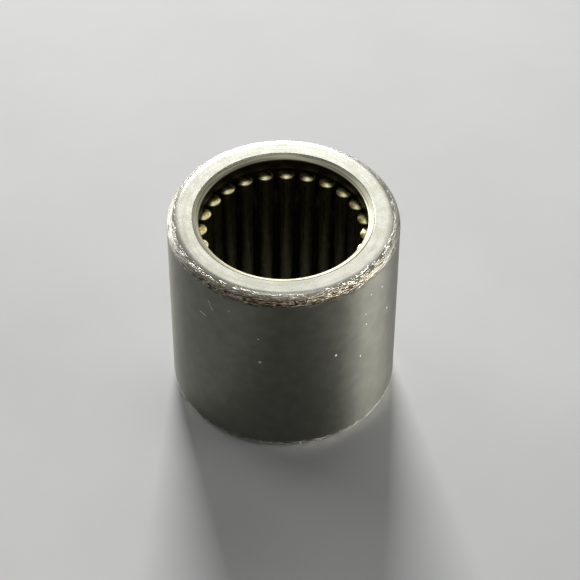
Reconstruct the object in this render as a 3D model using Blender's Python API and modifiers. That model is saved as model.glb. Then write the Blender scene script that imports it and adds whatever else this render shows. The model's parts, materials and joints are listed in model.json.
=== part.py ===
"""Needle roller bearing: a ribbed outer ring that holds one row of needle rollers in a one-piece cage.

The bearing stands on one end face. Its axis is Z and the origin is the centre of the lower end face.
Lengths are in metres.
"""

import math

import bmesh
import bpy

MM = 0.001

# Outer ring
RING_OUTER_DIAMETER = 26 * MM
RING_WIDTH = 25 * MM
RING_WALL = 2.48 * MM  # raceway to outside
RING_CORNER_RADIUS = 0.9 * MM
RIB_THICKNESS = 1.7 * MM
RIB_RELIEF = 0.95 * MM  # how far the rib's bore stands back from the shaft
RIB_CHAMFER_RADIAL = 0.6 * MM
RIB_CHAMFER_AXIAL = 0.4 * MM
GRINDING_RELIEF_RADIUS = 0.25 * MM  # undercut where the raceway meets each rib

# Needle rollers
ROLLER_DIAMETER = 2.0 * MM
ROLLER_CORNER_RADIUS = 0.18 * MM
ROLLER_SPACING = 0.48 * MM  # least gap between neighbours on the pitch circle
FIRST_ROLLER_ANGLE = math.radians(-2)

# Cage, pressed from a tube into an M section: outside the pitch circle at its ends, inside it at the middle
CAGE_THICKNESS = 0.46 * MM
CAGE_END_RING = 0.45 * MM  # solid band past the pockets, along the axis
CAGE_SHOULDER = 3.6 * MM  # length of each outer stretch, from the cage's end
CAGE_SLOPE = 1.3 * MM  # length of the step between the outer and the inner stretch
CAGE_INSET = 0.95 * MM  # how far the middle is pressed in from the outer stretches

# Running clearances
RACEWAY_CLEARANCE = 0.02 * MM  # roller to raceway
CAGE_RING_CLEARANCE = 0.14 * MM  # cage to raceway
CAGE_END_CLEARANCE = 0.1 * MM  # cage to each rib
POCKET_SIDE_CLEARANCE = 0.06 * MM  # roller to cage bar
POCKET_END_CLEARANCE = 0.1 * MM  # roller to the pocket's end

# Facets
RING_STEPS = 72
CAGE_STEPS_PER_ROLLER = 3
ROLLER_SIDES = 16
POCKET_SIDES = 24
CORNER_STEPS = 4
RELIEF_STEPS = 3
BEVEL_SEGMENTS = 2
SHARP_ANGLE = math.radians(60)  # edges sharper than this are bevelled and shaded as edges
MERGE_DISTANCE = 0.001 * MM

# Sizes that follow from those above
RING_RADIUS = RING_OUTER_DIAMETER / 2
RACEWAY_RADIUS = RING_RADIUS - RING_WALL
ROLLER_RADIUS = ROLLER_DIAMETER / 2
PITCH_RADIUS = RACEWAY_RADIUS - RACEWAY_CLEARANCE - ROLLER_RADIUS
SHAFT_RADIUS = PITCH_RADIUS - ROLLER_RADIUS  # the circle that the rollers enclose
ROLLER_COUNT = int(2 * math.pi * PITCH_RADIUS / (ROLLER_DIAMETER + ROLLER_SPACING))
RIB_BORE_RADIUS = SHAFT_RADIUS + RIB_RELIEF
CAGE_LENGTH = RING_WIDTH - 2 * (RIB_THICKNESS + CAGE_END_CLEARANCE)
POCKET_LENGTH = CAGE_LENGTH - 2 * CAGE_END_RING
ROLLER_LENGTH = POCKET_LENGTH - 2 * POCKET_END_CLEARANCE
CAGE_OUTER_RADIUS = RACEWAY_RADIUS - CAGE_RING_CLEARANCE
MID_HEIGHT = RING_WIDTH / 2


def clear_scene():
    for obj in list(bpy.data.objects):
        bpy.data.objects.remove(obj, do_unlink=True)


def make_collection(name):
    collection = bpy.data.collections.new(name)
    bpy.context.scene.collection.children.link(collection)
    return collection


def make_steel(name, colour, roughness):
    """A bare steel, with the colour and gloss of one of the bearing's three finishes."""
    material = bpy.data.materials.new(name)
    material.use_nodes = True
    shader = material.node_tree.nodes["Principled BSDF"]
    shader.inputs["Base Color"].default_value = (*colour, 1)
    shader.inputs["Metallic"].default_value = 1
    shader.inputs["Roughness"].default_value = roughness
    material.diffuse_color = (*colour, 1)
    return material


def arc(centre_r, centre_z, radius, start, end, steps):
    """Points (r, z) along an arc, with both ends, from one angle in degrees to another."""
    angles = [math.radians(start + (end - start) * i / steps) for i in range(steps + 1)]
    return [(centre_r + radius * math.cos(a), centre_z + radius * math.sin(a)) for a in angles]


def turned_object(name, profile, steps, collection):
    """A closed profile of points (r, z), outer side first and downwards, turned about the Z axis."""
    mesh = bpy.data.meshes.new(name)
    edges = [(i, (i + 1) % len(profile)) for i in range(len(profile))]
    mesh.from_pydata([(r, 0, z) for r, z in profile], edges, [])
    obj = bpy.data.objects.new(name, mesh)
    collection.objects.link(obj)
    screw = obj.modifiers.new("turn", "SCREW")
    screw.steps = steps
    screw.render_steps = steps
    screw.use_merge_vertices = True
    screw.merge_threshold = MERGE_DISTANCE
    screw.use_smooth_shade = True
    return obj


def ring_profile():
    """The outer ring's section, as points (r, z) with z measured from the lower end face."""
    corner = RING_CORNER_RADIUS
    relief = GRINDING_RELIEF_RADIUS
    top, low_rib, high_rib = RING_WIDTH, RIB_THICKNESS, RING_WIDTH - RIB_THICKNESS
    chamfer_radius = RIB_BORE_RADIUS + RIB_CHAMFER_RADIAL
    profile = [(chamfer_radius, top)]
    profile += arc(RING_RADIUS - corner, top - corner, corner, 90, 0, CORNER_STEPS)
    profile += arc(RING_RADIUS - corner, corner, corner, 0, -90, CORNER_STEPS)
    profile += [(chamfer_radius, 0), (RIB_BORE_RADIUS, RIB_CHAMFER_AXIAL), (RIB_BORE_RADIUS, low_rib)]
    profile += arc(RACEWAY_RADIUS, low_rib + relief, relief, -90, 90, RELIEF_STEPS)
    profile += arc(RACEWAY_RADIUS, high_rib - relief, relief, -90, 90, RELIEF_STEPS)
    profile += [(RIB_BORE_RADIUS, high_rib), (RIB_BORE_RADIUS, top - RIB_CHAMFER_AXIAL)]
    return profile


def make_outer_ring(collection, steel):
    ring = turned_object("outer_ring", ring_profile(), RING_STEPS, collection)
    ring.data.materials.append(steel)
    return ring


def cage_profile():
    """The cage's M section about its own middle: the outer side downwards, then the inner side upwards."""
    half = CAGE_LENGTH / 2
    step_top = half - CAGE_SHOULDER
    step_foot = step_top - CAGE_SLOPE
    outer, middle = CAGE_OUTER_RADIUS, CAGE_OUTER_RADIUS - CAGE_INSET
    heights = [half, step_top, step_foot, -step_foot, -step_top, -half]
    radii = [outer, outer, middle, middle, outer, outer]
    outside = list(zip(radii, heights))
    inside = [(r - CAGE_THICKNESS, z) for r, z in reversed(outside)]
    return outside + inside


def pocket_cutter(collection):
    """One cylinder for each pocket, a little larger than the roller that turns in it."""
    shape = bmesh.new()
    for index in range(ROLLER_COUNT):
        made = bmesh.ops.create_cone(
            shape,
            cap_ends=True,
            segments=POCKET_SIDES,
            radius1=ROLLER_RADIUS + POCKET_SIDE_CLEARANCE,
            radius2=ROLLER_RADIUS + POCKET_SIDE_CLEARANCE,
            depth=POCKET_LENGTH,
        )
        bmesh.ops.translate(shape, verts=made["verts"], vec=roller_place(index))
    mesh = bpy.data.meshes.new("pocket_cutter")
    shape.to_mesh(mesh)
    shape.free()
    cutter = bpy.data.objects.new("pocket_cutter", mesh)
    cutter.hide_render = True
    cutter.display_type = "WIRE"
    collection.objects.link(cutter)
    return cutter


def make_cage(collection, cutters, steel, axis):
    steps = CAGE_STEPS_PER_ROLLER * ROLLER_COUNT
    cage = turned_object("cage", cage_profile(), steps, collection)
    cutter = pocket_cutter(cutters)
    cage.parent = axis
    cutter.parent = axis
    pockets = cage.modifiers.new("pockets", "BOOLEAN")
    pockets.operation = "DIFFERENCE"
    pockets.object = cutter
    cage.data.materials.append(steel)
    return cage


def roller_place(index):
    """The centre of a roller, about the middle of the cage."""
    angle = 2 * math.pi * index / ROLLER_COUNT
    return (PITCH_RADIUS * math.cos(angle), PITCH_RADIUS * math.sin(angle), 0)


def roller_mesh(steel):
    """A plain cylinder for all the rollers to share. Each roller's Bevel rounds its two end corners."""
    bpy.ops.mesh.primitive_cylinder_add(
        vertices=ROLLER_SIDES, radius=ROLLER_RADIUS, depth=ROLLER_LENGTH, end_fill_type="NGON"
    )
    blank = bpy.context.object
    mesh = blank.data
    bpy.data.objects.remove(blank, do_unlink=True)
    mesh.name = "needle_roller"
    mesh.shade_smooth()
    mesh.set_sharp_from_angle(angle=SHARP_ANGLE)
    mesh.materials.append(steel)
    return mesh


def make_rollers(collection, steel, axis):
    mesh = roller_mesh(steel)
    for index in range(ROLLER_COUNT):
        roller = bpy.data.objects.new(f"needle_roller_{index + 1:02d}", mesh)
        collection.objects.link(roller)
        roller.parent = axis
        roller.location = roller_place(index)
        corner = roller.modifiers.new("end_corners", "BEVEL")
        corner.limit_method = "ANGLE"
        corner.angle_limit = SHARP_ANGLE
        corner.width = ROLLER_CORNER_RADIUS
        corner.segments = BEVEL_SEGMENTS


def main():
    clear_scene()
    parts = make_collection("needle_roller_bearing")
    cutters = make_collection("cutters")
    cage_axis = bpy.data.objects.new("cage_axis", None)
    parts.objects.link(cage_axis)
    cage_axis.location = (0, 0, MID_HEIGHT)
    cage_axis.rotation_euler = (0, 0, FIRST_ROLLER_ANGLE)
    ring_steel = make_steel("ring_steel", (0.56, 0.56, 0.54), 0.38)
    cage_steel = make_steel("cage_steel", (0.30, 0.29, 0.25), 0.42)
    roller_steel = make_steel("roller_steel", (0.62, 0.60, 0.52), 0.14)
    make_outer_ring(parts, ring_steel)
    make_cage(parts, cutters, cage_steel, cage_axis)
    make_rollers(parts, roller_steel, cage_axis)


main()
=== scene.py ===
"""Looks for the needle roller bearing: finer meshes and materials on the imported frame, in a plain studio.

Lengths are in metres, in the frame's axes: Z is the bearing's axis, the lower end face is at z = 0,
and the front is towards -Y.
"""

import json
import math

import bmesh
import bpy
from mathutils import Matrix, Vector, noise


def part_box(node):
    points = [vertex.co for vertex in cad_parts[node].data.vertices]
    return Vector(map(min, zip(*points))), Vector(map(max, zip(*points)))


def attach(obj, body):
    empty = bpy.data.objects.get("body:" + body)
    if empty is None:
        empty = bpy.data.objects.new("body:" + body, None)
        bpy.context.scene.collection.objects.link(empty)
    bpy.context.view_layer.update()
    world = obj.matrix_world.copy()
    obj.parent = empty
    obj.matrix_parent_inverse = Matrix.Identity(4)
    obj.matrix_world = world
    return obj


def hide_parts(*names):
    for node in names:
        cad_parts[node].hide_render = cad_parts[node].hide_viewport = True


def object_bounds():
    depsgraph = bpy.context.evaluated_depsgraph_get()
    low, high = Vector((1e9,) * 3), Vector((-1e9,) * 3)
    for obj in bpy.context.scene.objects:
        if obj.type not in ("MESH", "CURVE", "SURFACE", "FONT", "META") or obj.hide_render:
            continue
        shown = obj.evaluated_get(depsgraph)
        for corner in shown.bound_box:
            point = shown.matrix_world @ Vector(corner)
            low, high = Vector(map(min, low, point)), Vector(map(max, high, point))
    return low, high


MM = 0.001

# Outer ring, with the frame's sizes
RIB_THICKNESS = 1.7 * MM
RIB_BORE_RADIUS = 9.45 * MM
RIB_EDGE = 0.06 * MM
RACEWAY_RADIUS = 10.52 * MM
RELIEF_DEPTH = 0.25 * MM
RELIEF_WIDTH = 0.5 * MM
RELIEF_EDGE = 0.2 * MM
SHOULDER_WIDTH = 1.4 * MM
SHOULDER_HEIGHT = 1.1 * MM
HIGH_SHOULDER_STEPS = 27
LOW_SHOULDER_STEPS = 15
CHAMFER_RADIAL = 0.6 * MM
CHAMFER_AXIAL = 0.4 * MM
LIP_GROOVE = 0.07 * MM
LIP_DROP = 0.4 * LIP_GROOVE  # from the end face to the chamfer's outer edge
LIP_EDGE = 0.12 * MM
RING_STEPS = 800

# Rough skin on the ring's outer corners, from a turn of 0 on the end face to 1 on the outside
SKIN_DEPTH = 0.05 * MM
SKIN_LENGTH = 1.1 * MM  # of a fold, round the ring
SKIN_WIDTH = 0.17 * MM  # of a fold, across the corner
SKIN_START = 0.36
SKIN_END = 0.98
SKIN_FADE = 0.2  # of the relief
SKIN_EDGE_IN = 0.14  # of the colour
SKIN_EDGE_OUT = 0.1
SKIN_WAVER = 0.22
FOLD_WARP = 0.6
FOLD_WARP_SCALE = 0.35
SMALL_FOLD_HEIGHT = 0.5
SMALL_FOLD_SCALE = 2.1
GRAIN_HEIGHT = 0.25
GRAIN_SCALE = 4.3
FOLD_MEAN = 0.55

# Where the skin is rough: cosines of the angle from the front, then from the back and from the right
PATINA_START = 0.45
PATINA_FULL = 0.9
WORN_SHARE = 0.35  # of the depth that is left away from the front
BACK_SMOOTH = 2 / 3
LEFT_SMOOTH = -0.75
LEFT_ROUGH = -0.35
LEFT_SHARE = 0.2  # of the depth that is left at the far left
WORN_CREASES = 0.3

# Marks on the ring's outside: degrees from the front, height, and half width
NICKS = [
    (56.5, 21.1 * MM, 0.20 * MM),
    (47.4, 21.5 * MM, 0.15 * MM),
    (62.7, 16.4 * MM, 0.22 * MM),
    (44.2, 18.9 * MM, 0.15 * MM),
    (44.8, 17.2 * MM, 0.16 * MM),
    (26.4, 14.7 * MM, 0.20 * MM),
    (41.4, 12.5 * MM, 0.17 * MM),
    (-11.7, 14.8 * MM, 0.18 * MM),
    (-27.1, 21.8 * MM, 0.12 * MM),
    (-12.3, 18.5 * MM, 0.11 * MM),
]
NICK_CORE = 0.4  # share of the half width that is bare
SCRATCHES = [
    ((-38.9, 21.9 * MM), (-36.4, 20.7 * MM)),
    ((-44.8, 19.3 * MM), (-40.7, 19.2 * MM)),
]
SCRATCH_HALF_WIDTH = 0.07 * MM
SCRATCH_CORE = 0.3

# Needle rollers
ROLLER_END_CROWN = 0.16 * MM
ROLLER_CORNER = 0.18 * MM
ROLLER_STEPS = 48
ROLLER_END_STEPS = 6
ROLLER_CORNER_STEPS = 5

# Cage, with the frame's sizes
CAGE_THICKNESS = 0.46 * MM
CAGE_END_RING = 0.45 * MM
CAGE_SHOULDER = 3.6 * MM
CAGE_SLOPE = 1.3 * MM
CAGE_INSET = 0.95 * MM
CAGE_BEND = 0.9 * MM
CAGE_RING_CLEARANCE = 0.14 * MM
POCKET_CLEARANCE = 0.06 * MM
POCKET_CORNER = 0.2 * MM
POCKET_CORNER_ROWS = (0, 0.15, 0.45, 1)
BAR_COLUMNS = 4
POCKET_COLUMNS = 8
CAGE_COLUMNS = BAR_COLUMNS + POCKET_COLUMNS
WALL_LAYERS = 3
CAGE_STEP = 0.1 * MM

# Colours, from dark to light where there are two
FACE_COLOURS = (0.435, 0.43, 0.36, 1), (0.515, 0.515, 0.45, 1)
FACE_LINE = (0.32, 0.31, 0.25, 1)
# painted shade: the outside is the same ground steel as the end faces, coloured darker for its dark
# reflections
SIDE_PAINTED_SHADE_COLOURS = (0.137, 0.137, 0.113, 1), (0.163, 0.163, 0.136, 1)
CHAMFER_COLOURS = (0.36, 0.335, 0.23, 1), (0.70, 0.67, 0.50, 1)
MARK_COLOUR = (0.70, 0.70, 0.65, 1)
SKIN_COLOURS = (0.022, 0.015, 0.007, 1), (0.25, 0.19, 0.11, 1)
SKIN_FLECK = (0.72, 0.69, 0.61, 1)
WORN_COLOURS = (0.07, 0.066, 0.055, 1), (0.26, 0.253, 0.215, 1)
LOWER_SKIN = (0.42, 0.41, 0.365, 1)
# oily inside, painted near black as shade in the bore
BORE_OIL_AND_SHADE_COLOURS = (0.045, 0.038, 0.022, 1), (0.085, 0.073, 0.045, 1)
# oily cage, painted near black as shade inside the bearing
CAGE_OIL_AND_SHADE_COLOURS = (0.018, 0.016, 0.010, 1), (0.040, 0.035, 0.023, 1)
ROLLER_COLOURS = (0.28, 0.26, 0.155, 1), (0.36, 0.34, 0.215, 1)
END_COLOURS = (0.48, 0.32, 0.08, 1), (1.0, 0.94, 0.52, 1)
# painted shade on the rims of the rollers' ends
END_RIM_SHADE_COLOUR = (0.05, 0.036, 0.01, 1)
FLOOR_COLOURS = (0.72, 0.72, 0.71, 1), (0.75, 0.75, 0.74, 1)

# Roughness, from low to high where there are two
FACE_ROUGHNESS = 0.26, 0.31
SIDE_ROUGHNESS = 0.40, 0.46
CHAMFER_ROUGHNESS = 0.38, 0.52
SKIN_ROUGHNESS = 0.24, 0.38
WORN_ROUGHNESS = 0.48
MARK_ROUGHNESS = 0.8
CAGE_ROUGHNESS = 0.55, 0.70
ROLLER_ROUGHNESS = 0.27, 0.37
END_ROUGHNESS = 0.28, 0.38
END_RIM_ROUGHNESS = 0.6
FLOOR_ROUGHNESS = 0.7

# Gloss of the ground outside, stretched along the axis, and how far under the outside it fades in
SIDE_STRETCH = 0.7
QUARTER_TURN = 0.25
SIDE_FADE = 0.2 * MM, 0.05 * MM

# Where noise mostly lies, and how much it is drawn out along a direction
NOISE_SPAN = 0.3, 0.7
ROUND_DRAW = 0.02
CAGE_DRAW = (1, 1, 0.05)
ROLLER_DRAW = (1, 1, 0.02)

# Edges of the finishes, as shares of the shoulder's height, the chamfer's, and a roller's corner and radius
FACE_EDGE = 0.5, 0.2
OIL_EDGE = 0.8, 1.4
END_START = 0.5
END_FADE = 0.4
END_RIM = 0.9, 0.98

# Camera
VIEW_ELEVATION = math.radians(46.5)
VIEW_DISTANCE = 0.24486
LENS = 132.05
SHIFT_X = 0.0112
SHIFT_Y = 0.0048
NEAR_CLIP = 0.01

# Softboxes: azimuth (0 behind, 90 at the right) and elevation in degrees, distance, size, and watts
SOFTBOXES = [
    ("key_softbox", -5, 17, 1.3, (0.42, 0.38), 26),
    ("back_softbox", 18, 48, 1.3, (0.8, 0.5), 1.45),
    ("front_softbox", 180, 68, 1.2, (0.3, 0.1), 0.45),
    ("side_softbox", 100, 2, 0.6, (0.35, 0.035), 5.8),
    ("left_softbox", -52, 4, 0.8, (0.4, 0.07), 6),
    ("top_softbox", 0, 80, 1.2, (0.4, 0.25), 0.5),
]

# World: what lights the floor, and the paler studio that the camera and the steel see
WORLD_COLOUR = (0.98, 0.99, 1.0, 1)
WORLD_FILL = 0.02
WORLD_SEEN = 0.26

FLOOR_RADIUS = 4
FLOOR_STEPS = 96
FLOOR_GRAIN = 0.02
SHARP_ANGLE = math.radians(38)
FILLET_STEP = math.radians(22)

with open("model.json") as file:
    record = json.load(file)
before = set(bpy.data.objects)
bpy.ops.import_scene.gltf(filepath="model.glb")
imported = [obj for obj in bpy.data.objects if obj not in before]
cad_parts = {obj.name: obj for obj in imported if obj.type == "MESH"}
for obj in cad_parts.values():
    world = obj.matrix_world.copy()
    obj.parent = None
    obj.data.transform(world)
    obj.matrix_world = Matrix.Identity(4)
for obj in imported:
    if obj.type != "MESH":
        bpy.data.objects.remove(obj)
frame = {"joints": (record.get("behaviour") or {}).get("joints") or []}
cad_low, cad_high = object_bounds()
RING_RADIUS = cad_high.x
RING_WIDTH = cad_high.z
MID_HEIGHT = RING_WIDTH / 2


class Shading:
    """A node material under construction."""

    def __init__(self, name):
        self.material = bpy.data.materials.new(name)
        self.material.use_nodes = True
        self.tree = self.material.node_tree
        self.shader = self.tree.nodes["Principled BSDF"]

    def feed(self, socket, value):
        if isinstance(value, bpy.types.NodeSocket):
            self.tree.links.new(value, socket)
        else:
            socket.default_value = value

    def add(self, kind, inputs, output=0, **settings):
        made = self.tree.nodes.new("ShaderNode" + kind)
        for name, value in settings.items():
            setattr(made, name, value)
        for key, value in inputs.items():
            self.feed(made.inputs[key], value)
        return made.outputs[output]

    def math(self, operation, a, b=0.0):
        return self.add("Math", {0: a, 1: b}, operation=operation)

    def vector(self, operation, a, b, output="Vector"):
        return self.add("VectorMath", {0: a, 1: b}, output=output, operation=operation)

    def place(self):
        """The object's own coordinates, in metres."""
        return self.add("TexCoord", {}, output="Object")

    def split(self, vector):
        made = self.tree.nodes.new("ShaderNodeSeparateXYZ")
        self.feed(made.inputs[0], vector)
        return made.outputs["X"], made.outputs["Y"], made.outputs["Z"]

    def join(self, x, y, z):
        return self.add("CombineXYZ", {0: x, 1: y, 2: z})

    def radius(self, place):
        flat = self.vector("MULTIPLY", place, (1, 1, 0))
        return self.vector("LENGTH", flat, (0, 0, 0), output="Value")

    def noise(self, vector, grain, detail=4.0, roughness=0.55):
        """Noise from 0 to 1 with features of about that grain, in the vector's units."""
        inputs = {"Vector": vector, "Scale": 1 / grain, "Detail": detail, "Roughness": roughness}
        return self.add("TexNoise", inputs)

    def remap(self, value, low, high, to_low=0.0, to_high=1.0):
        inputs = {"Value": value, "From Min": low, "From Max": high, "To Min": to_low, "To Max": to_high}
        return self.add("MapRange", inputs, interpolation_type="SMOOTHSTEP")

    def blend(self, factor, a, b):
        """Number a at factor 0 and number b at factor 1."""
        return self.add("Mix", {0: factor, 2: a, 3: b}, data_type="FLOAT")

    def mix(self, factor, a, b):
        """Colour a at factor 0 and colour b at factor 1."""
        return self.add("Mix", {0: factor, 6: a, 7: b}, output=2, data_type="RGBA")

    def tint(self, value, low, high, colours):
        """The first of two colours where the value is low, and the second where it is high."""
        return self.mix(self.remap(value, low, high), *colours)

    def bump(self, height, distance, strength, normal=None):
        inputs = {"Height": height, "Distance": distance, "Strength": strength}
        if normal is not None:
            inputs["Normal"] = normal
        return self.add("Bump", inputs)

    def finish(self, **inputs):
        for name, value in inputs.items():
            self.feed(self.shader.inputs[name.replace("_", " ")], value)
        return self.material


def on_outside(angle, height):
    """The point on the ring's outside at degrees from the front and a height."""
    a = math.radians(angle)
    return Vector((RING_RADIUS * math.sin(a), -RING_RADIUS * math.cos(a), height))


def mark_mask(s, place):
    """1 on the ring's nicks and scratches, 0 elsewhere."""
    mask = None
    for angle, height, half_width in NICKS:
        away = s.vector("DISTANCE", place, on_outside(angle, height), output="Value")
        spot = s.remap(away, NICK_CORE * half_width, half_width, 1.0, 0.0)
        mask = spot if mask is None else s.math("MAXIMUM", mask, spot)
    for start, end in SCRATCHES:
        first, last = on_outside(*start), on_outside(*end)
        run = last - first
        from_first = s.vector("SUBTRACT", place, first)
        share = s.vector("DOT_PRODUCT", from_first, run / run.length_squared, output="Value")
        share = s.add("Clamp", {0: share})
        nearest = s.add("VectorMath", {0: run, "Scale": share}, operation="SCALE")
        away = s.vector("DISTANCE", place, s.vector("ADD", nearest, first), output="Value")
        line = s.remap(away, SCRATCH_CORE * SCRATCH_HALF_WIDTH, SCRATCH_HALF_WIDTH, 1.0, 0.0)
        mask = s.math("MAXIMUM", mask, line)
    return mask


def corner_turn(s, radius, from_middle):
    """How far round a shoulder a point is: 0 or less on the end face, 1 or more on the outside."""
    out = s.math("DIVIDE", s.math("SUBTRACT", radius, RING_RADIUS - SHOULDER_WIDTH), SHOULDER_WIDTH)
    up = s.math("DIVIDE", s.math("SUBTRACT", from_middle, MID_HEIGHT - SHOULDER_HEIGHT), SHOULDER_HEIGHT)
    return s.math("DIVIDE", s.math("ARCTAN2", out, up), math.pi / 2)


def face_mask(s, radius, from_middle):
    """1 on the flat of the end faces, 0 on the shoulders and inside the lip."""
    start, full = [MID_HEIGHT - share * SHOULDER_HEIGHT for share in FACE_EDGE]
    lip_edge = RIB_BORE_RADIUS + CHAMFER_RADIAL
    beyond_lip = s.remap(radius, lip_edge, lip_edge + LIP_GROOVE)
    return s.math("MULTIPLY", s.remap(from_middle, start, full), beyond_lip)


def skin_mask(s, radius, from_middle, folds):
    """1 on the rough skin of the shoulders, with edges that waver along its folds."""
    waver = s.remap(folds, 0.25, 0.75, -SKIN_WAVER, SKIN_WAVER)
    turn = s.math("ADD", corner_turn(s, radius, from_middle), waver)
    past_face = s.remap(turn, SKIN_START, SKIN_START + SKIN_EDGE_IN)
    before_side = s.remap(turn, SKIN_END + SKIN_EDGE_OUT, SKIN_END - SKIN_EDGE_OUT)
    return s.math("MULTIPLY", past_face, before_side)


def bore_mask(s, radius, from_middle):
    """1 on the ring's inside, below the chamfers: oily steel, painted dark as shade."""
    inward = s.remap(radius, RACEWAY_RADIUS + 2 * RELIEF_DEPTH, RACEWAY_RADIUS + RELIEF_DEPTH)
    start, full = [MID_HEIGHT - share * CHAMFER_AXIAL for share in OIL_EDGE]
    return s.math("MULTIPLY", inward, s.remap(from_middle, start, full))


def ring_material():
    """Ground steel on the outside and the end faces, rough skin on the outer corners, oily steel inside;
    painted shade darkens the outside and the inside.
    """
    s = Shading("ring_steel_ground")
    place = s.place()
    x, y, z = s.split(place)
    radius = s.radius(place)
    along = s.math("SUBTRACT", radius, z)
    from_middle = s.math("ABSOLUTE", s.math("SUBTRACT", z, MID_HEIGHT))

    # Grinding lines, turned rings, clouds, grain, and the skin's folds and flecks
    drawn_x, drawn_y = s.math("MULTIPLY", x, ROUND_DRAW), s.math("MULTIPLY", y, ROUND_DRAW)
    lines = s.noise(s.join(drawn_x, drawn_y, along), 0.12 * MM, detail=2.0)
    rings = s.noise(s.join(drawn_x, drawn_y, radius), 0.16 * MM, detail=3.0)
    cloud = s.noise(place, 1.6 * MM, detail=5.0)
    fine = s.noise(place, 0.16 * MM)
    skin_place = s.join(x, y, s.math("MULTIPLY", along, SKIN_LENGTH / SKIN_WIDTH))
    folds = s.noise(skin_place, SKIN_LENGTH, detail=3.0, roughness=0.5)
    flecks = s.noise(skin_place, 0.5 * SKIN_LENGTH, detail=2.0)

    # Where each finish lies
    marks = mark_mask(s, place)
    on_face = face_mask(s, radius, from_middle)
    on_skin = skin_mask(s, radius, from_middle, folds)
    inside = bore_mask(s, radius, from_middle)
    on_chamfer = s.remap(radius, RING_RADIUS - SHOULDER_WIDTH, RACEWAY_RADIUS)
    on_side = s.remap(radius, *[RING_RADIUS - depth for depth in SIDE_FADE])
    patina = s.remap(s.math("DIVIDE", y, radius), -PATINA_START, -PATINA_FULL)
    low_half = s.remap(z, MID_HEIGHT, 0.9 * MID_HEIGHT)

    # Colour
    face = s.tint(cloud, 0.36, 0.64, FACE_COLOURS)
    face = s.mix(s.remap(rings, 0.48, 0.64, 0.0, 0.45), face, FACE_LINE)
    # painted shade: the outside is coloured darker than the end faces of the same steel
    side = s.tint(cloud, 0.3, 0.75, SIDE_PAINTED_SHADE_COLOURS)
    side = s.mix(on_chamfer, side, s.tint(rings, 0.40, 0.60, CHAMFER_COLOURS))
    ground = s.mix(marks, s.mix(on_face, side, face), MARK_COLOUR)
    skin = s.mix(s.remap(flecks, 0.55, 0.64), s.tint(folds, 0.40, 0.58, SKIN_COLOURS), SKIN_FLECK)
    skin = s.mix(patina, s.tint(folds, 0.36, 0.50, WORN_COLOURS), skin)
    skin = s.mix(low_half, skin, LOWER_SKIN)
    # oil film and painted shade on the ring's inside
    oil_and_shade = s.tint(cloud, *NOISE_SPAN, BORE_OIL_AND_SHADE_COLOURS)
    colour = s.mix(inside, s.mix(on_skin, ground, skin), oil_and_shade)

    # Roughness
    rough_side = s.remap(fine, *NOISE_SPAN, *SIDE_ROUGHNESS)
    rough_side = s.blend(on_chamfer, rough_side, s.remap(lines, *NOISE_SPAN, *CHAMFER_ROUGHNESS))
    rough = s.blend(on_face, rough_side, s.remap(fine, *NOISE_SPAN, *FACE_ROUGHNESS))
    rough_skin = s.blend(patina, WORN_ROUGHNESS, s.remap(folds, 0.35, 0.7, *SKIN_ROUGHNESS))
    rough = s.blend(on_skin, rough, rough_skin)
    rough = s.blend(marks, rough, MARK_ROUGHNESS)

    # Relief
    creases = s.math("MULTIPLY", s.math("MULTIPLY", folds, on_skin), s.blend(patina, WORN_CREASES, 1.0))
    normal = s.bump(lines, 0.002 * MM, strength=0.4)
    normal = s.bump(fine, 0.004 * MM, strength=0.25, normal=normal)
    normal = s.bump(marks, 0.25 * MM, strength=1.0, normal=normal)
    normal = s.bump(creases, 0.25 * MM, strength=1.0, normal=normal)
    return s.finish(
        Base_Color=colour,
        Metallic=1.0,
        Roughness=rough,
        Normal=normal,
        Anisotropic=s.math("MULTIPLY", on_side, SIDE_STRETCH),
        Anisotropic_Rotation=QUARTER_TURN,
        Tangent=s.add("Tangent", {}, direction_type="RADIAL", axis="Z"),
    )


def cage_material():
    """Pressed strip: dull and oily, painted dark as shade inside the bearing, with fine draw marks along the
    bars.
    """
    s = Shading("cage_steel_pressed")
    place = s.place()
    drawn = s.noise(s.vector("MULTIPLY", place, CAGE_DRAW), 0.09 * MM)
    cloud = s.noise(place, 1.2 * MM)
    return s.finish(
        Base_Color=s.tint(cloud, *NOISE_SPAN, CAGE_OIL_AND_SHADE_COLOURS),
        Metallic=1.0,
        Roughness=s.remap(drawn, *NOISE_SPAN, *CAGE_ROUGHNESS),
        Normal=s.bump(drawn, 0.006 * MM, strength=0.4),
    )


def roller_material(radius, half_length):
    """Polished steel under a film of oil, which gilds the rollers' ends; the ends' rims are painted dark as
    shade.
    """
    s = Shading("roller_steel_polished")
    place = s.place()
    _, _, z = s.split(place)
    streak = s.noise(s.vector("MULTIPLY", place, ROLLER_DRAW), 0.5 * MM, detail=2.0)
    cloud = s.noise(place, 0.9 * MM)
    blot = s.noise(place, 0.7 * MM, detail=3.0)
    end_start = half_length - ROLLER_END_CROWN - END_START * ROLLER_CORNER
    on_end = s.remap(s.math("ABSOLUTE", z), end_start, end_start + END_FADE * ROLLER_CORNER)
    on_rim = s.remap(s.radius(place), *[share * radius for share in END_RIM])
    # oil gilds the ends, and their rims get painted shade
    gilt_and_rim_shade = s.mix(on_rim, s.tint(blot, 0.38, 0.52, END_COLOURS), END_RIM_SHADE_COLOUR)
    rough_end = s.blend(on_rim, s.remap(blot, *NOISE_SPAN, *END_ROUGHNESS), END_RIM_ROUGHNESS)
    return s.finish(
        Base_Color=s.mix(on_end, s.tint(cloud, *NOISE_SPAN, ROLLER_COLOURS), gilt_and_rim_shade),
        Metallic=1.0,
        Roughness=s.blend(on_end, s.remap(streak, *NOISE_SPAN, *ROLLER_ROUGHNESS), rough_end),
        Normal=s.bump(streak, 0.003 * MM, strength=0.12),
    )


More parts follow.
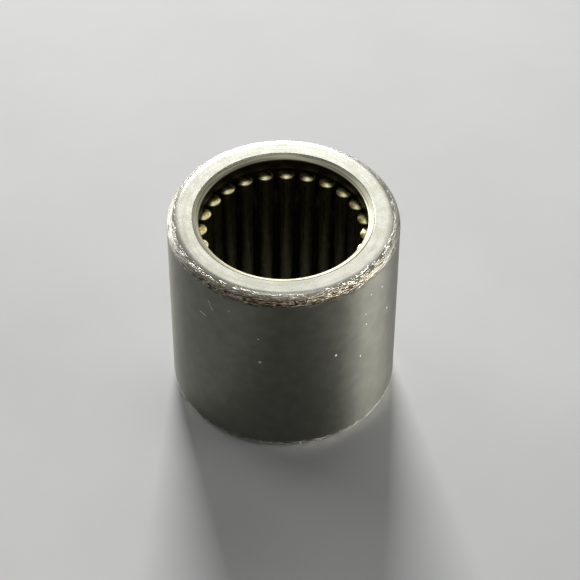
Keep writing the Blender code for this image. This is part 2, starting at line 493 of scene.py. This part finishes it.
def arc(centre_r, centre_z, radius, start, end, steps):
    """Points (r, z) along an arc, with both ends, from one angle in degrees to another."""
    angles = [math.radians(start + (end - start) * i / steps) for i in range(steps + 1)]
    return [(centre_r + radius * math.cos(a), centre_z + radius * math.sin(a)) for a in angles]


def fillet(before, corner, after, radius):
    """Points (r, z) that round the corner between two straight runs."""
    back = Vector(before) - Vector(corner)
    on = Vector(after) - Vector(corner)
    half = back.angle(on) / 2
    middle = Vector(corner) + (back.normalized() + on.normalized()).normalized() * (radius / math.sin(half))
    first = Vector(corner) + back.normalized() * (radius / math.tan(half)) - middle
    turn = first.angle_signed(Vector(corner) + on.normalized() * (radius / math.tan(half)) - middle)
    steps = max(2, math.ceil(abs(turn) / FILLET_STEP))
    points = []
    for i in range(steps + 1):
        a = -turn * i / steps
        x = first.x * math.cos(a) - first.y * math.sin(a)
        y = first.x * math.sin(a) + first.y * math.cos(a)
        points.append((middle.x + x, middle.y + y))
    return points


def rounded(corners, closed=True):
    """A section from corners (r, z, fillet radius). An open one keeps its two ends as they are."""
    points = []
    for i, (r, z, radius) in enumerate(corners):
        at_end = not closed and i in (0, len(corners) - 1)
        if radius == 0 or at_end:
            points.append((r, z))
        else:
            after = corners[(i + 1) % len(corners)]
            points += fillet(corners[i - 1][:2], (r, z), after[:2], radius)
    return points


def lip():
    """Corners of the rib's lower lip: a groove line in the end face, then the chamfer down to the bore."""
    face = RIB_BORE_RADIUS + CHAMFER_RADIAL
    groove = [(face + 2 * LIP_GROOVE, 0, 0), (face + LIP_GROOVE, LIP_GROOVE, 0)]
    return groove + [(face, LIP_DROP, 0), (RIB_BORE_RADIUS, CHAMFER_AXIAL, LIP_EDGE)]


def shoulder(steps):
    """Corners of the ring's lower shoulder: a quarter of an ellipse from the outside to the end face."""
    corners = []
    for i in range(steps + 1):
        a = math.pi / 2 * i / steps
        r = RING_RADIUS - SHOULDER_WIDTH * (1 - math.cos(a))
        corners.append((r, SHOULDER_HEIGHT * (1 - math.sin(a)), 0))
    return corners


def upside_down(corners):
    """The same corners at the ring's upper end, in the reverse order."""
    return [(r, RING_WIDTH - z, radius) for r, z, radius in reversed(corners)]


def ring_section():
    """The ring's closed section, down the outside and up the bore."""
    bore, groove = RIB_BORE_RADIUS, RACEWAY_RADIUS + RELIEF_DEPTH
    low_bore = lip() + [
        (bore, RIB_THICKNESS, RIB_EDGE),
        (groove, RIB_THICKNESS, RELIEF_EDGE),
        (groove, RIB_THICKNESS + RELIEF_WIDTH, RELIEF_EDGE),
        (RACEWAY_RADIUS, RIB_THICKNESS + RELIEF_WIDTH, RIB_EDGE),
    ]
    outside = upside_down(shoulder(HIGH_SHOULDER_STEPS)) + shoulder(LOW_SHOULDER_STEPS)
    return rounded(outside + low_bore + upside_down(low_bore))


def ramp(value, start, full):
    """0 at the start and 1 at the full value, and no less or more beyond them."""
    return min(1, max(0, (value - start) / (full - start)))


def skin_relief(point, turn):
    """The rough skin's height at a point of a corner, as folds that run round the ring."""
    width = turn * (SHOULDER_WIDTH + SHOULDER_HEIGHT) / 2 * math.pi / 2
    spot = Vector((point.x / SKIN_LENGTH, point.y / SKIN_LENGTH, width / SKIN_WIDTH))
    spot += FOLD_WARP * noise.noise_vector(spot * FOLD_WARP_SCALE)
    folds = abs(noise.noise(spot)) + SMALL_FOLD_HEIGHT * abs(noise.noise(spot * SMALL_FOLD_SCALE))
    return folds + GRAIN_HEIGHT * noise.noise(spot * GRAIN_SCALE) - FOLD_MEAN


def skin_share(turn, out):
    """The part of the skin's full relief at a turn round the corner and a direction out from the axis."""
    share = min(ramp(turn, SKIN_START, SKIN_START + SKIN_FADE), ramp(turn, SKIN_END, SKIN_END - SKIN_FADE))
    share *= WORN_SHARE + (1 - WORN_SHARE) * ramp(-out.y, PATINA_START, PATINA_FULL)
    share *= ramp(out.y, BACK_SMOOTH, 0)
    return share * max(LEFT_SHARE, ramp(out.x, LEFT_SMOOTH, LEFT_ROUGH))


def roughen_corners(mesh):
    """Pushes the shoulders' points in and out, away from each shoulder's centre line."""
    for vertex in mesh.vertices:
        side = math.copysign(1, vertex.co.z - MID_HEIGHT)
        up = abs(vertex.co.z - MID_HEIGHT) - (MID_HEIGHT - SHOULDER_HEIGHT)
        flat = Vector((vertex.co.x, vertex.co.y, 0))
        out = flat.length - (RING_RADIUS - SHOULDER_WIDTH)
        if up <= 0 or out <= 0:
            continue
        turn = math.atan2(out / SHOULDER_WIDTH, up / SHOULDER_HEIGHT) / (math.pi / 2)
        share = skin_share(turn, flat.normalized())
        centre = flat.normalized() * (RING_RADIUS - SHOULDER_WIDTH)
        centre.z = MID_HEIGHT + side * (MID_HEIGHT - SHOULDER_HEIGHT)
        height = SKIN_DEPTH * share * skin_relief(vertex.co, turn)
        vertex.co += (vertex.co - centre).normalized() * height


def turned_mesh(name, section, steps):
    """A closed section of points (r, z), turned about the Z axis."""
    count = len(section)
    turns = [2 * math.pi * i / steps for i in range(steps)]
    points = [(r * math.cos(a), r * math.sin(a), z) for a in turns for r, z in section]
    faces = []
    for i in range(steps):
        this, after = i * count, (i + 1) % steps * count
        for j in range(count):
            k = (j + 1) % count
            faces.append((this + j, this + k, after + k, after + j))
    mesh = bpy.data.meshes.new(name)
    mesh.from_pydata(points, [], faces)
    return mesh


def show(name, mesh, material, body, node, location=(0, 0, 0)):
    """Puts a finished mesh in the scene in place of its CAD node."""
    mesh.shade_smooth()
    mesh.set_sharp_from_angle(angle=SHARP_ANGLE)
    mesh.materials.append(material)
    obj = bpy.data.objects.new(name, mesh)
    obj.location = location
    bpy.context.scene.collection.objects.link(obj)
    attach(obj, body)
    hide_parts(node)


def make_ring():
    mesh = turned_mesh("ring_body", ring_section(), RING_STEPS)
    roughen_corners(mesh)
    show("ring_body", mesh, ring_material(), "outer_ring", "outer_ring")


def roller_section(radius, half):
    """Half a roller's section, from beside the middle of its upper end to beside that of its lower end."""
    corner, crown = ROLLER_CORNER, ROLLER_END_CROWN
    flat = radius - corner
    ball = (flat * flat + crown * crown) / (2 * crown)
    reach = math.degrees(math.asin(flat / ball))
    upper = arc(0, half - ball, ball, 90, 90 - reach, ROLLER_END_STEPS)
    upper += arc(flat, half - crown - corner, corner, 90 - reach, 0, ROLLER_CORNER_STEPS)
    return upper[1:] + [(r, -z) for r, z in reversed(upper[1:])]


def roller_mesh(radius, half):
    shape = bmesh.new()
    turns = [2 * math.pi * i / ROLLER_STEPS for i in range(ROLLER_STEPS)]
    loops = []
    for r, z in roller_section(radius, half):
        loops.append([shape.verts.new((r * math.cos(a), r * math.sin(a), z)) for a in turns])
    for above, below in zip(loops, loops[1:]):
        for i in range(ROLLER_STEPS):
            k = (i + 1) % ROLLER_STEPS
            shape.faces.new((above[i], below[i], below[k], above[k]))
    for loop, tip in ((loops[0], half), (loops[-1], -half)):
        centre = shape.verts.new((0, 0, tip))
        for i in range(ROLLER_STEPS):
            shape.faces.new((centre, loop[i], loop[(i + 1) % ROLLER_STEPS]))
    bmesh.ops.recalc_face_normals(shape, faces=shape.faces)
    mesh = bpy.data.meshes.new("roller_body")
    shape.to_mesh(mesh)
    shape.free()
    return mesh


def roller_joints():
    return [j for j in frame["joints"] if j["child"].startswith("needle_roller")]


def roller_size():
    """A roller's radius and half length."""
    low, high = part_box(roller_joints()[0]["child"])
    return (high.x - low.x) / 2, (high.z - low.z) / 2


def make_rollers():
    radius, half = roller_size()
    material = roller_material(radius, half)
    for joint in roller_joints():
        node = joint["child"]
        name = node.replace("needle_roller", "roller_body")
        show(name, roller_mesh(radius, half), material, node, node, joint["pos_m"])


def stepped(points):
    """Points (r, z) with more of them wherever the radius changes fast."""
    made = [points[0]]
    for (r0, z0), (r1, z1) in zip(points, points[1:]):
        steps = max(1, math.ceil(abs(r1 - r0) / CAGE_STEP))
        for i in range(1, steps + 1):
            made.append((r0 + (r1 - r0) * i / steps, z0 + (z1 - z0) * i / steps))
    return made


def cage_rows(low, high):
    """The cage's outer side as points (r, z) from the top down, with rows where the pockets' corners are."""
    outer = RACEWAY_RADIUS - CAGE_RING_CLEARANCE
    middle = outer - CAGE_INSET
    step_top, step_foot = high - CAGE_SHOULDER, high - CAGE_SHOULDER - CAGE_SLOPE
    pocket = high - CAGE_END_RING
    near_pocket = [pocket - POCKET_CORNER * share for share in POCKET_CORNER_ROWS]
    straight = [(outer, z, 0) for z in [high] + near_pocket]
    bends = [(outer, step_top, CAGE_BEND), (middle, step_foot, CAGE_BEND), (middle, MID_HEIGHT, 0)]
    half = stepped(rounded(straight + bends, closed=False))
    return half + [(r, low + high - z) for r, z in reversed(half[:-1])]


def pocket_half_angle(radius, roller, pitch, narrow):
    """Half the angle that a pocket takes at a radius from the bearing's axis."""
    reach = roller + POCKET_CLEARANCE - narrow
    cosine = (radius * radius + pitch * pitch - reach * reach) / (2 * radius * pitch)
    return math.acos(min(1, cosine))


def cage_points(rows, pocket_foot, pocket_top):
    """The cage's points: by rows, then by layers through its wall, then by columns round the axis."""
    joints = roller_joints()
    roller, _ = roller_size()
    first = Vector(joints[0]["pos_m"])
    pitch, phase = first.xy.length, math.atan2(first.y, first.x)
    sector = 2 * math.pi / len(joints)
    points = []
    for r, z in rows:
        inset = min(abs(pocket_top - z), abs(z - pocket_foot))
        corner = max(0, 1 - inset / POCKET_CORNER) ** 2 * POCKET_CORNER
        for layer in range(WALL_LAYERS):
            radius = r - CAGE_THICKNESS * layer / (WALL_LAYERS - 1)
            half = pocket_half_angle(radius, roller, pitch, corner)
            for j in range(CAGE_COLUMNS * len(joints)):
                home, step = divmod(j, CAGE_COLUMNS)
                if step > POCKET_COLUMNS:
                    angle = half + (sector - 2 * half) * (step - POCKET_COLUMNS) / BAR_COLUMNS
                else:
                    angle = half * (2 * step / POCKET_COLUMNS - 1)
                angle += phase + home * sector
                points.append((radius * math.cos(angle), radius * math.sin(angle), z))
    return points


def cage_faces(rows, pocket_foot, pocket_top):
    """Faces of the cage's solid cells: all those of its end rings, and only the bars between its pockets."""
    around = CAGE_COLUMNS * len(roller_joints())

    def spot(cell, layer):
        i, j = cell
        return (i * WALL_LAYERS + layer) * around + j % around

    def solid(i, j):
        if not 0 <= i < len(rows) - 1:
            return False
        middle = (rows[i][1] + rows[i + 1][1]) / 2
        return not pocket_foot < middle < pocket_top or j % CAGE_COLUMNS >= POCKET_COLUMNS

    faces = []
    for i in range(len(rows) - 1):
        for j in range(around):
            if not solid(i, j):
                continue
            corners = [(i, j), (i + 1, j), (i + 1, j + 1), (i, j + 1)]
            for layer in (0, WALL_LAYERS - 1):
                faces.append([spot(corner, layer) for corner in corners])
            sides = [
                ((i - 1, j), corners[0], corners[3]),
                ((i + 1, j), corners[1], corners[2]),
                ((i, j - 1), corners[0], corners[1]),
                ((i, j + 1), corners[3], corners[2]),
            ]
            for k in range(WALL_LAYERS - 1):
                for beyond, start, end in sides:
                    if not solid(*beyond):
                        faces.append([spot(start, k), spot(end, k), spot(end, k + 1), spot(start, k + 1)])
    return faces


def make_cage():
    low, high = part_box("cage")
    rows = cage_rows(low.z, high.z)
    pocket_foot, pocket_top = low.z + CAGE_END_RING, high.z - CAGE_END_RING
    mesh = bpy.data.meshes.new("cage_body")
    points = cage_points(rows, pocket_foot, pocket_top)
    mesh.from_pydata(points, [], cage_faces(rows, pocket_foot, pocket_top))
    shape = bmesh.new()
    shape.from_mesh(mesh)
    bmesh.ops.delete(shape, geom=[v for v in shape.verts if not v.link_faces], context="VERTS")
    bmesh.ops.recalc_face_normals(shape, faces=shape.faces)
    shape.to_mesh(mesh)
    shape.free()
    show("cage_body", mesh, cage_material(), "cage", "cage")


def make_floor():
    bpy.ops.mesh.primitive_circle_add(vertices=FLOOR_STEPS, radius=FLOOR_RADIUS, fill_type="NGON")
    floor = bpy.context.object
    floor.name = "floor"
    s = Shading("floor_pale")
    cloud = s.noise(s.place(), FLOOR_GRAIN, detail=3.0)
    colour = s.tint(cloud, *NOISE_SPAN, FLOOR_COLOURS)
    floor.data.materials.append(s.finish(Base_Color=colour, Roughness=FLOOR_ROUGHNESS))


def add_facing(name, data, location, back):
    """Adds a lamp or a camera that looks away from the direction at its back."""
    obj = bpy.data.objects.new(name, data)
    obj.location = location
    obj.rotation_mode = "QUATERNION"
    obj.rotation_quaternion = back.to_track_quat("Z", "Y")
    bpy.context.scene.collection.objects.link(obj)
    return obj


def make_softbox(name, azimuth, elevation, distance, size, power):
    lamp = bpy.data.lights.new(name, "AREA")
    lamp.shape = "RECTANGLE"
    lamp.size, lamp.size_y = size
    lamp.energy = power
    a, e = math.radians(azimuth), math.radians(elevation)
    back = Vector((math.sin(a) * math.cos(e), math.cos(a) * math.cos(e), math.sin(e)))
    add_facing(name, lamp, back * distance, back)


def make_world():
    world = bpy.data.worlds.new("studio")
    bpy.context.scene.world = world
    world.use_nodes = True
    nodes, links = world.node_tree.nodes, world.node_tree.links
    rays = nodes.new("ShaderNodeLightPath")
    seen = nodes.new("ShaderNodeMath")
    seen.operation = "MAXIMUM"
    links.new(rays.outputs["Is Camera Ray"], seen.inputs[0])
    links.new(rays.outputs["Is Glossy Ray"], seen.inputs[1])
    strength = nodes.new("ShaderNodeMapRange")
    strength.inputs["To Min"].default_value = WORLD_FILL
    strength.inputs["To Max"].default_value = WORLD_SEEN
    links.new(seen.outputs[0], strength.inputs["Value"])
    backdrop = nodes["Background"]
    backdrop.inputs["Color"].default_value = WORLD_COLOUR
    links.new(strength.outputs[0], backdrop.inputs["Strength"])


def make_camera():
    camera = bpy.data.cameras.new("camera")
    camera.lens = LENS
    camera.shift_x = SHIFT_X
    camera.shift_y = SHIFT_Y
    camera.clip_start = NEAR_CLIP
    back = Vector((0, -math.cos(VIEW_ELEVATION), math.sin(VIEW_ELEVATION)))
    location = Vector((0, 0, MID_HEIGHT)) + back * VIEW_DISTANCE
    bpy.context.scene.camera = add_facing("camera", camera, location, back)


make_ring()
make_rollers()
make_cage()
make_floor()
for softbox in SOFTBOXES:
    make_softbox(*softbox)
make_world()
make_camera()
bpy.context.scene.view_settings.view_transform = "Standard"
